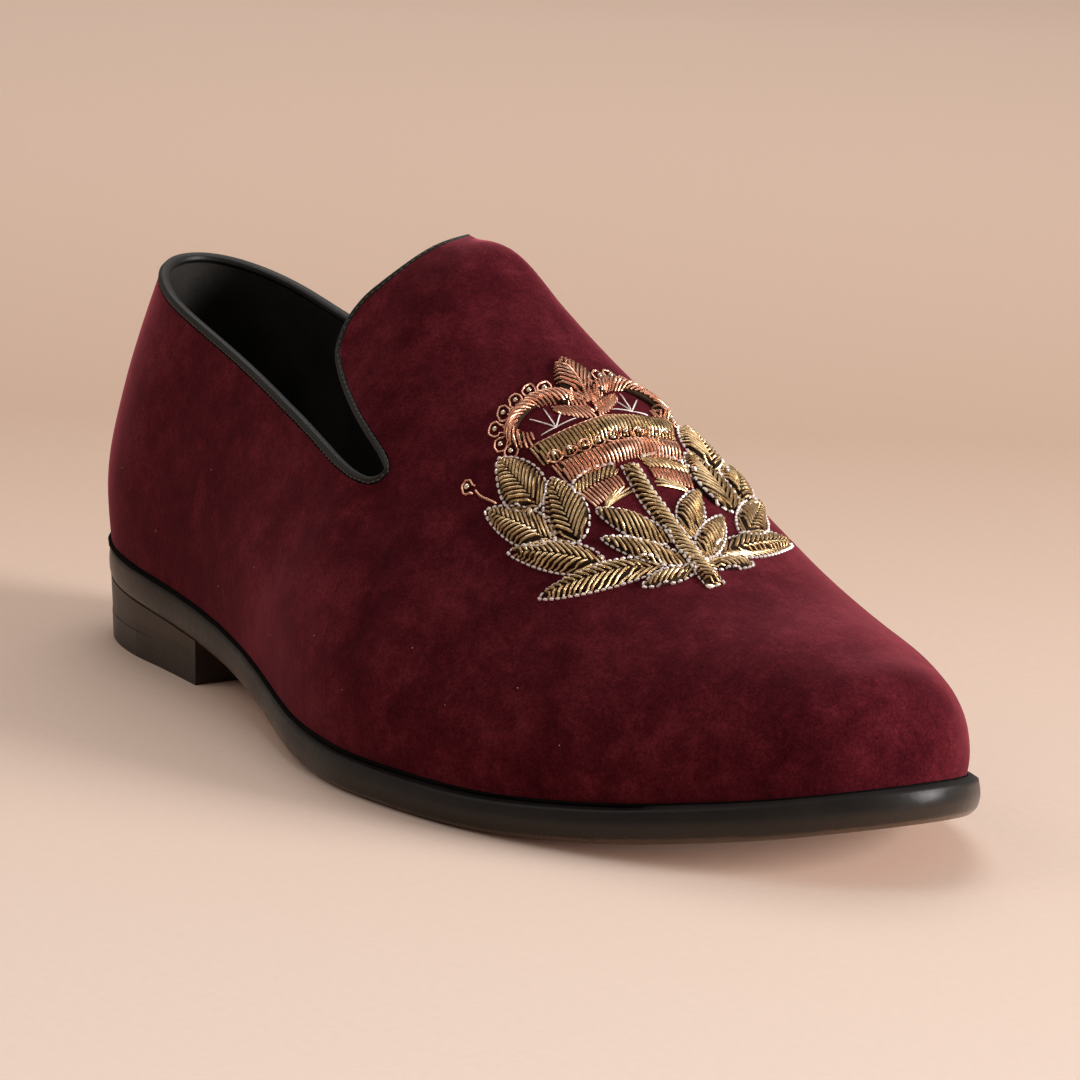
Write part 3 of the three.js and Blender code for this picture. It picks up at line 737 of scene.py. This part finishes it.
def cut_tread(piece):
    """Fine curved grooves across the inner half of the forefoot."""
    tree = tree_of(piece.data)
    grooves = Wires("tread_grooves", "sole_leather", GROOVE, sides=0)
    below = lambda x, y: tree.ray_cast(Vector((x * MM, y * MM, -0.05)), Vector((0, 0, 1)))
    for i in range(TREAD_COUNT):
        x = TREAD_FROM + (TREAD_TO - TREAD_FROM) * i / (TREAD_COUNT - 1)
        edge = 60.0
        while edge > 10 and (below(x, edge)[0] is None or below(x, edge)[1].z > -0.8):
            edge -= 0.5
        line = []
        for share in np.linspace(0, 1, 7):
            y = 6 + (edge - 8.5) * share
            hit = below(x - 5 * share**2, y)[0]
            if hit is not None:
                line.append(hit + Vector((0, 0, 0.12 * MM)))
        if len(line) > 2:
            grooves.run(line, [0.12, *[0.2] * (len(line) - 2), 0.12])
    return grooves.done()


mark_edge_height(outsole)
cut_tread(outsole)


# The vamp's surface as a chart: u from the stem's foot back, v across the motif, in mm


PADS = [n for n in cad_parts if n.startswith(("leaf_", "copper_", "gold_", "stem"))]
# The pads take the near-black backing, which paints the shade between the coils.
for name in PADS:
    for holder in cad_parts[name].material_slots:
        holder.material = BACKING_AND_GAP_SHADE

MOTIF_FOOT = 235.5
MOTIF_LENGTH = 68.0
MOTIF_SHIFT = (-13.3, -7.3)
MOTIF_TURN = 0.09
INNER_SHARE = 0.82  # lasting drew the inner half together and forward
INNER_PULL = 6.0
INNER_REACH = 12.0
SECTION_AXIS = Vector((0, 13.2 * MM, 28 * MM))
CHART_X = np.arange(150.0, 252.1, 2.0)
CHART_S = np.arange(-50.0, 50.1, 1.0)
CHART_TURN = 115
CAST_FROM = 0.2


def pad_tree():
    work = bmesh.new()
    for name in PADS:
        work.from_mesh(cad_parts[name].data)
    tree = BVHTree.FromBMesh(work)
    work.free()
    return tree


pads_tree = pad_tree()


def section_points(x):
    """Points of the section at x, by distance from the crest; the inner side is positive."""
    axis = Vector(((x + HEEL_BACK_X) * MM, 0, 0)) + SECTION_AXIS
    found = []
    for turn in range(-CHART_TURN, CHART_TURN + 1, 2):
        angle = math.radians(turn)
        out = Vector((0, math.sin(angle), math.cos(angle)))
        hit = velvet_tree.ray_cast(axis + out * CAST_FROM, -out)[0]
        if hit is not None:
            found.append((turn, hit))
    points = np.array([hit for _, hit in found])
    run = np.concatenate([[0], np.cumsum(np.linalg.norm(np.diff(points, axis=0), axis=1))]) / MM
    turns = np.array([turn for turn, _ in found], float)
    distance = run - np.interp(0, turns, run)
    return np.stack([np.interp(CHART_S, distance, points[:, k]) for k in range(3)], axis=1)


CHART = np.stack([section_points(x) for x in CHART_X])


def on_chart(x, s):
    i = np.clip((x - CHART_X[0]) / (CHART_X[1] - CHART_X[0]), 0, len(CHART_X) - 1.001)
    j = np.clip((s - CHART_S[0]) / (CHART_S[1] - CHART_S[0]), 0, len(CHART_S) - 1.001)
    a, b = int(i), int(j)
    p, q = i - a, j - b
    low = CHART[a, b] * (1 - q) + CHART[a, b + 1] * q
    high = CHART[a + 1, b] * (1 - q) + CHART[a + 1, b + 1] * q
    return Vector(low * (1 - p) + high * p)


def spot(u, v):
    """A point of the velvet and its outward direction."""
    across = INNER_SHARE * v if v > 0 else v
    pull = INNER_PULL * (1 - math.exp(-((across / INNER_REACH) ** 2))) if v > 0 else 0
    x = MOTIF_FOOT - u + MOTIF_TURN * across + pull
    s = across + MOTIF_SHIFT[0] + (MOTIF_SHIFT[1] - MOTIF_SHIFT[0]) * u / MOTIF_LENGTH
    ahead = on_chart(x + 2, s) - on_chart(x - 2, s)
    aside = on_chart(x, s + 2) - on_chart(x, s - 2)
    return on_chart(x, s), ahead.cross(aside).normalized()


def seat(u, v, lift=0.0):
    """The point above (u, v) on a pad, or else on the velvet, lifted in mm."""
    point, out = spot(u, v)
    start = point + out * 0.006
    hits = [tree.ray_cast(start, -out, 0.012)[0] for tree in (pads_tree, velvet_tree)]
    hits = [hit for hit in hits if hit is not None]
    top = min(hits, key=lambda hit: (hit - start).length) if hits else point
    return top + out * lift * MM


# Goldwork


PITCH = 0.94  # between two neighbouring coils
COIL_RADIUS = 0.35
WIRE_RADIUS = 0.26
OUTLINE_RADIUS = 0.36
LEAVES = [
    # base u, base v, tip u, tip v, width, slant of the coils; a plain leaf has no middle vein
    (38.6, 23.6, 54.6, 25.3, 10.4, 45, "veined"),
    (25.4, 20.6, 41.8, 17.8, 10.0, 42, "veined"),
    (29.2, 24.9, 47.2, 34.3, 8.0, 38, "veined"),
    (17.0, 18.2, 34.7, 34.8, 6.8, 33, "veined"),
    (9.2, 7.2, 20.5, 34.2, 6.2, 31, "veined"),
    (14.3, 2.4, 28.9, 12.7, 5.4, -38, "plain"),
    (7.0, 2.0, 22.3, 15.1, 4.9, -36, "plain"),
    (4.9, 1.6, 6.4, 13.8, 4.2, 36, "plain"),
]
TOP_LEAF = (54.8, 0.6, 67.6, -0.6, 9.8, 36)
STEM = [(36.0, -0.7), (26.6, -1.3), (17.0, -0.4), (-1.9, 0.0)]
STEM_WIDTH = (3.0, 4.2)  # at its head and at its foot
WREATH = [
    (52.6, 16.0),
    (54.9, 18.6),
    (57.7, 19.6),
    (59.6, 18.5),
    (60.7, 16.3),
    (61.0, 13.4),
    (60.6, 10.4),
    (59.6, 7.5),
    (58.0, 4.4),
    (56.2, 2.0),
    (54.6, 0.2),
]
WREATH_WIDTH = 3.6
LOOPS = [(54.2, 21.9), (57.3, 23.1), (61.2, 22.3), (62.9, 18.6), (63.4, 14.6), (63.5, 10.7), (62.1, 7.3)]
BEAD_ROW = [(45.9, 14.2), (45.0, 10.6), (44.4, 7.1), (43.9, 3.5)]
SPOKE_HUB = (52.2, 10.0)
SPOKES = [(57.7, 14.2), (57.9, 10.1), (55.5, 6.5), (51.9, 4.8), (52.6, 14.0)]
INNER_FAN = [(57.2, 8.4), (55.2, 4.0), (53.6, 0.4)], [(55.0, 8.2), (51.2, 3.6), (49.9, 0.3)]
FLOWER_EDGE = [(34.6, 15.2), (37.4, 14.4), (38.4, 11.4), (38.2, 7.6), (37.0, 3.6)]
FLOWER_TOP = [(37.2, 14.6), (37.9, 9.0), (36.9, 3.2)], [(34.8, 14.2), (35.0, 9.0), (34.2, 3.8)]
FLOWER_MIDDLE = [(34.8, 13.9), (34.7, 9.5), (34.2, 4.4)], [(29.8, 12.4), (30.2, 9.0), (31.4, 4.2)]
FLOWER_FAN = [(28.4, 10.6)], [(30.6, 9.2), (31.2, 7.6), (31.5, 5.9), (31.2, 4.4), (30.3, 3.4), (29.2, 3.2)]
CURL = [(47.0, 31.4), (49.4, 32.6), (51.6, 33.6), (53.8, 33.9)]
CURL_RING = (55.8, 35.1)


def between(first, last, count):
    """Points from first to last."""
    return [tuple(np.array(first) + (np.array(last) - np.array(first)) * i / (count - 1)) for i in range(count)]


def curve_through(points, count):
    """A smooth line through a few (u, v) points."""
    points = np.array(points, float)
    run = np.concatenate([[0], np.cumsum(np.linalg.norm(np.diff(points, axis=0), axis=1))])
    padded = np.vstack([2 * points[0] - points[1], points, 2 * points[-1] - points[-2]])
    line = []
    for at in np.linspace(0, run[-1], count):
        i = min(int(np.searchsorted(run, at, side="right")) - 1, len(points) - 2)
        t = (at - run[i]) / (run[i + 1] - run[i])
        a, b, c, d = padded[i : i + 4]
        bent = 2 * b + (c - a) * t + (2 * a - 5 * b + 4 * c - d) * t**2 + (3 * b - a - 3 * c + d) * t**3
        line.append(tuple(0.5 * bent))
    return line


def jitter(size=0.1):
    return np.array([draw.uniform(-size, size), draw.uniform(-size, size)])


class Leaf:
    """A leaf's outline in (u, v): a middle line and a half width along it."""

    def __init__(self, base, tip, width):
        self.base, self.tip, self.width = np.array(base), np.array(tip), width
        self.run = self.tip - self.base
        self.length = np.linalg.norm(self.run)
        self.along = self.run / self.length
        self.aside = np.array([-self.along[1], self.along[0]])

    def half(self, share, more=0.0):
        rounding = math.sin(math.pi * min(max(share, 0), 1) ** 0.75)
        return (self.width / 2 + more) * max(rounding, 0) ** 0.7

    def place(self, along, aside):
        return self.base + self.along * along + self.aside * aside

    def holds(self, here):
        return 0 <= here[0] <= self.length and abs(here[1]) <= self.half(here[0] / self.length) * 0.95

    def enter(self, start, slope, step=0.1):
        """The first point inside the outline on the way from start, both as (along, aside)."""
        here = np.array(start, float)
        while here[0] < self.length and not self.holds(here):
            here = here + np.array(slope) * step
        return here

    def reach(self, start, slope, step=0.1):
        """The last point inside the outline on the way from start, both as (along, aside)."""
        here = np.array(start, float)
        while self.holds(here):
            here = here + np.array(slope) * step
        return here

    def contour(self, points=36):
        line = []
        for side in (1, -1):
            for i in range(points):
                share = i / points if side > 0 else 1 - i / points
                line.append(self.place(self.length * (share * 1.05 - 0.02), side * self.half(share, 0.3)))
        return line


def lay_veined(wires, leaf, slant, radius=COIL_RADIUS):
    """Coils from a leaf's middle vein out and on towards its tip."""
    angle = math.radians(slant)
    count = int(leaf.length * math.sin(angle) / PITCH)
    for i in range(-count // 2, count):
        root = leaf.length * (i + 0.4) / count * 0.96
        for side in (-1, 1):
            slope = (math.cos(angle), side * math.sin(angle))
            start = leaf.enter([root + (0.25 if side > 0 else -0.25), side * 0.12], slope)
            end = leaf.reach(start, slope)
            if np.linalg.norm(end - start) > 0.7:
                line = between(leaf.place(*start), leaf.place(*end) + jitter(), 6)
                wires.lay(line, radius * draw.uniform(0.92, 1.06))


def lay_plain(wires, leaf, slant, radius=COIL_RADIUS):
    """Coils slantwise across a leaf, from edge to edge."""
    angle = math.radians(abs(slant))
    side = math.copysign(1, slant)
    count = int((leaf.length + 1) * math.sin(angle) / PITCH)
    for i in range(count):
        middle = (leaf.length * (i + 0.5) / count, 0.0)
        slope = np.array([math.cos(angle), side * math.sin(angle)])
        first, last = leaf.reach(middle, -slope), leaf.reach(middle, slope)
        if np.linalg.norm(last - first) > 0.9:
            line = between(leaf.place(*first), leaf.place(*last) + jitter(), 6)
            wires.lay(line, radius * draw.uniform(0.94, 1.05), sunk=0.35)


def dash_along(wires, line, closed=False, dash=1.0, gap=0.6, lift=1.0):
    """Thin wire couched along a line in short dashes."""
    points = even_steps(line, 0.2, closed)
    size, pace = int(dash / 0.2), int((dash + gap) / 0.2)
    for i in range(0, len(points) - size, pace):
        piece = [tuple(points[i]), tuple(points[i + size // 2]), tuple(points[i + size])]
        wires.lay(piece, OUTLINE_RADIUS * draw.uniform(0.88, 1.15), lift=lift, sunk=lift / 2)


def lay_bars(wires, low, high, lean=0.0, radius=COIL_RADIUS, pitch=PITCH):
    """Coils side by side between two lines of (u, v) points; lean slants them, cut off at the row's ends."""
    low, high = np.array(curve_through(low, 60)), np.array(curve_through(high, 60))
    middle = (low + high) / 2
    run = np.concatenate([[0], np.cumsum(np.linalg.norm(np.diff(middle, axis=0), axis=1))])
    pick = lambda line, at: np.array([np.interp(at, run, line[:, k]) for k in range(2)])
    count = max(int((run[-1] + lean) / pitch), 2)
    for i in range(count + 1):
        at = -lean + (run[-1] + lean) * i / count
        first = min(max(-at / lean, 0), 1) if lean else 0
        last = min(max((run[-1] - at) / lean, 0), 1) if lean else 1
        line = []
        for share in np.linspace(first, last, 6):
            place = at + lean * share
            line.append(tuple(pick(low, place) * (1 - share) + pick(high, place) * share))
        if math.dist(line[0], line[-1]) > 0.9:
            line[-1] = tuple(line[-1] + jitter(0.08))
            wires.lay(line, radius * draw.uniform(0.94, 1.05), sunk=0.3)


def thinned(line, count=12):
    """A few points of a line, its ends among them."""
    return [line[i] for i in np.linspace(0, len(line) - 1, count).astype(int)]


def beside(line, distance):
    """A line at a distance to the left of another."""
    points = np.array(line)
    ahead = np.gradient(points, axis=0)
    ahead /= np.linalg.norm(ahead, axis=1)[:, None]
    return [tuple(p) for p in points + distance * np.stack([-ahead[:, 1], ahead[:, 0]], axis=1)]


def arc(crown, half, bend, count=9):
    """A band's edge: v from -half to half, bent back at its ends."""
    return [(crown + bend * share * share, half * share) for share in np.linspace(-1, 1, count)]


def loop_line(middle, radius, towards, open_by=0.6, count=13):
    """A loop of wire, open on the side that faces a point."""
    middle, towards = np.array(middle), np.array(towards)
    start = math.atan2(*(towards - middle)[::-1])
    turns = np.linspace(start + open_by, start + 2 * math.pi - open_by, count)
    ring = [middle + radius * draw.uniform(0.9, 1.1) * np.array([math.cos(t), math.sin(t)]) for t in turns]
    foot = (towards - middle) / np.linalg.norm(towards - middle) * radius * 0.5
    return [tuple(ring[0] + foot), *[tuple(p) for p in ring], tuple(ring[-1] + foot)]


def make_goldwork():
    gold = Wires("gold_coils", "gold_thread", GOLD)
    copper = Wires("copper_coils", "copper_thread", COPPER)
    silver = Wires("silver_outlines", "gold_thread", SILVER, sides=1)
    beads = []
    for side in (-1, 1):
        turn = lambda line: [(u, side * v) for u, v in line]
        one = lambda point: turn([point])[0]
        for base_u, base_v, tip_u, tip_v, width, slant, kind in LEAVES:
            leaf = Leaf(one((base_u, base_v)), one((tip_u, tip_v)), width)
            if kind == "veined":
                lay_veined(gold, leaf, slant)
            else:
                lay_plain(gold, leaf, side * slant)
            dash_along(silver, leaf.contour(), closed=True)
        wreath = curve_through(turn(WREATH), 80)
        half = side * WREATH_WIDTH / 2
        lay_bars(copper, thinned(beside(wreath, half)), thinned(beside(wreath, -half)), lean=2.6, pitch=1.25)
        for place in LOOPS:
            nearest = min(wreath, key=lambda p: math.dist(p, one(place)))
            copper.lay(loop_line(one(place), 1.65, nearest), WIRE_RADIUS)
            beads.append((seat(*one(place), 0.45), 0.62))
        for place in BEAD_ROW:
            beads.append((seat(*one(place), 0.5), 0.6))
        for end in SPOKES:
            silver.lay(between(one(SPOKE_HUB), one(end), 6), 0.17)
        lay_bars(copper, turn(INNER_FAN[0]), turn(INNER_FAN[1]), lean=1.8, pitch=0.95)
        lay_bars(gold, turn(FLOWER_TOP[1]), turn(FLOWER_TOP[0]), lean=2.0, pitch=1.05)
        lay_bars(copper, turn(FLOWER_MIDDLE[1]), turn(FLOWER_MIDDLE[0]), pitch=0.84)
        for end in FLOWER_FAN[1]:
            gold.lay(between(one(FLOWER_FAN[0][0]), one(end), 6), COIL_RADIUS)
        dash_along(silver, curve_through(turn(FLOWER_EDGE), 30), lift=2.2)
        copper.lay(curve_through(turn(CURL), 14), 0.3)
        copper.lay(loop_line(one(CURL_RING), 1.5, one(CURL[-1])), 0.3)
        beads.append((seat(*one(CURL_RING), 0.5), 0.7))
    lay_bars(gold, arc(43.6, 17.2, 2.3), arc(49.7, 17.8, 1.9), pitch=0.94)
    lay_bars(copper, arc(37.2, 15.0, 1.5), arc(42.3, 15.8, 2.2), pitch=0.94)
    copper.lay(curve_through(arc(49.8, 17.6, 1.9), 60), WIRE_RADIUS)
    wave = lambda phase: [
        (43.5 + 2.6 * (v / 16) ** 2 + 1.0 * math.sin(math.pi * v / 3.55 + phase), v) for v in np.linspace(-16.2, 16.2, 90)
    ]
    copper.lay(wave(math.pi / 2), WIRE_RADIUS, lift=1.5)
    copper.lay(wave(-math.pi / 2), WIRE_RADIUS, lift=1.1)
    beads.append((seat(43.5, 0, 0.5), 0.6))
    top = Leaf(TOP_LEAF[:2], TOP_LEAF[2:4], TOP_LEAF[4])
    lay_veined(copper, top, TOP_LEAF[5])
    copper.lay(between(top.base, top.tip - top.run * 0.2, 8), COIL_RADIUS)
    stem = curve_through(STEM, 60)
    widths = np.linspace(STEM_WIDTH[0], STEM_WIDTH[1], len(stem))
    edges = {side: [tuple(p) for p in stem + (np.array(beside(stem, side)) - stem) * widths[:, None] / 2] for side in (-1, 1)}
    lay_bars(gold, thinned(edges[1]), thinned(edges[-1]), lean=3.6, pitch=1.3)
    for side in (-1, 1):
        dash_along(silver, edges[side])
    dash_along(silver, between(edges[1][-1], edges[-1][-1], 10))
    gold.done()
    copper.done()
    silver.done()
    spread_beads("centre_beads", "gold_thread", BEAD, beads, 12, 8)


make_goldwork()


# Lint on the velvet


LINT_SPOTS = [(-118, 44), (-96, 33), (-71, 52), (-60, 27), (-38, 36), (-22, 24), (6, 30), (24, 22), (41, 34), (57, 25), (72, 31), (88, 22)]


def scatter_lint():
    places = []
    for x, z in LINT_SPOTS:
        for side in (-1, 1):
            hit = flank(velvet_tree, x, z, side)
            if hit is not None:
                places.append((hit, draw.uniform(0.13, 0.2)))
    spread_beads("velvet_lint", "velvet", LINT, places, 5, 3)


scatter_lint()


# Stage, light and camera


FLOOR_SIZE = 8.0
CAMERA_FROM = Vector((1.037086, -0.704024, 0.298872))
CAMERA_AT = Vector((0.006675, 0.010265, 0.04636))
CAMERA_ROLL = math.radians(1.87)
CAMERA_LENS = 190.4


def make_stage():
    work = bmesh.new()
    bmesh.ops.create_grid(work, x_segments=1, y_segments=1, size=FLOOR_SIZE / 2)
    mesh = mesh_of(work)
    mesh.materials.append(floor_finish())
    floor = bpy.data.objects.new("floor", mesh)
    scene.collection.objects.link(floor)


def make_light(name, place, target, size, power, colour):
    light = bpy.data.lights.new(name, "AREA")
    light.shape = "DISK"
    light.size = size
    light.energy = power
    light.color = colour
    holder = bpy.data.objects.new(name, light)
    holder.location = place
    holder.rotation_euler = (Vector(target) - Vector(place)).to_track_quat("-Z", "Y").to_euler()
    scene.collection.objects.link(holder)


def make_world():
    world = bpy.data.worlds.new("studio")
    world.use_nodes = True
    back = world.node_tree.nodes["Background"]
    back.inputs["Color"].default_value = (1.0, 0.90, 0.81, 1)
    back.inputs["Strength"].default_value = 0.36
    scene.world = world


def make_camera():
    camera = bpy.data.cameras.new("camera")
    camera.lens = CAMERA_LENS
    camera.sensor_width = 36
    camera.clip_end = 50
    holder = bpy.data.objects.new("camera", camera)
    ahead = (CAMERA_AT - CAMERA_FROM).normalized()
    level = ahead.cross(Vector((0, 0, 1))).normalized()
    up = level.cross(ahead)
    right = level * math.cos(CAMERA_ROLL) + up * math.sin(CAMERA_ROLL)
    turned = Matrix((right, right.cross(ahead), -ahead)).transposed()
    holder.matrix_world = Matrix.Translation(CAMERA_FROM) @ turned.to_4x4()
    scene.collection.objects.link(holder)
    scene.camera = holder


make_stage()
make_light("overhead", (0.0, 0.1, 1.6), (0, 0, 0.03), 1.0, 3.5, (1.0, 0.98, 0.96))
make_light("behind", (-0.6, 0.5, 1.4), (0, 0, 0.03), 0.9, 6, (1.0, 0.98, 0.96))
make_light("front_right", (1.6, 1.0, 0.5), (0.1, 0, 0.04), 0.9, 64, (1.0, 0.98, 0.96))
make_light("left_fill", (-0.5, -1.2, 1.5), (0, 0, 0.03), 1.2, 5, (1.0, 0.98, 0.96))
make_light("backdrop", (-1.5, 0.8, 1.7), (-1.4, 0.7, 0), 1.2, 5, (1.0, 0.98, 0.96))
make_world()
make_camera()
scene.view_settings.view_transform = "Standard"
scene.view_settings.look = "None"
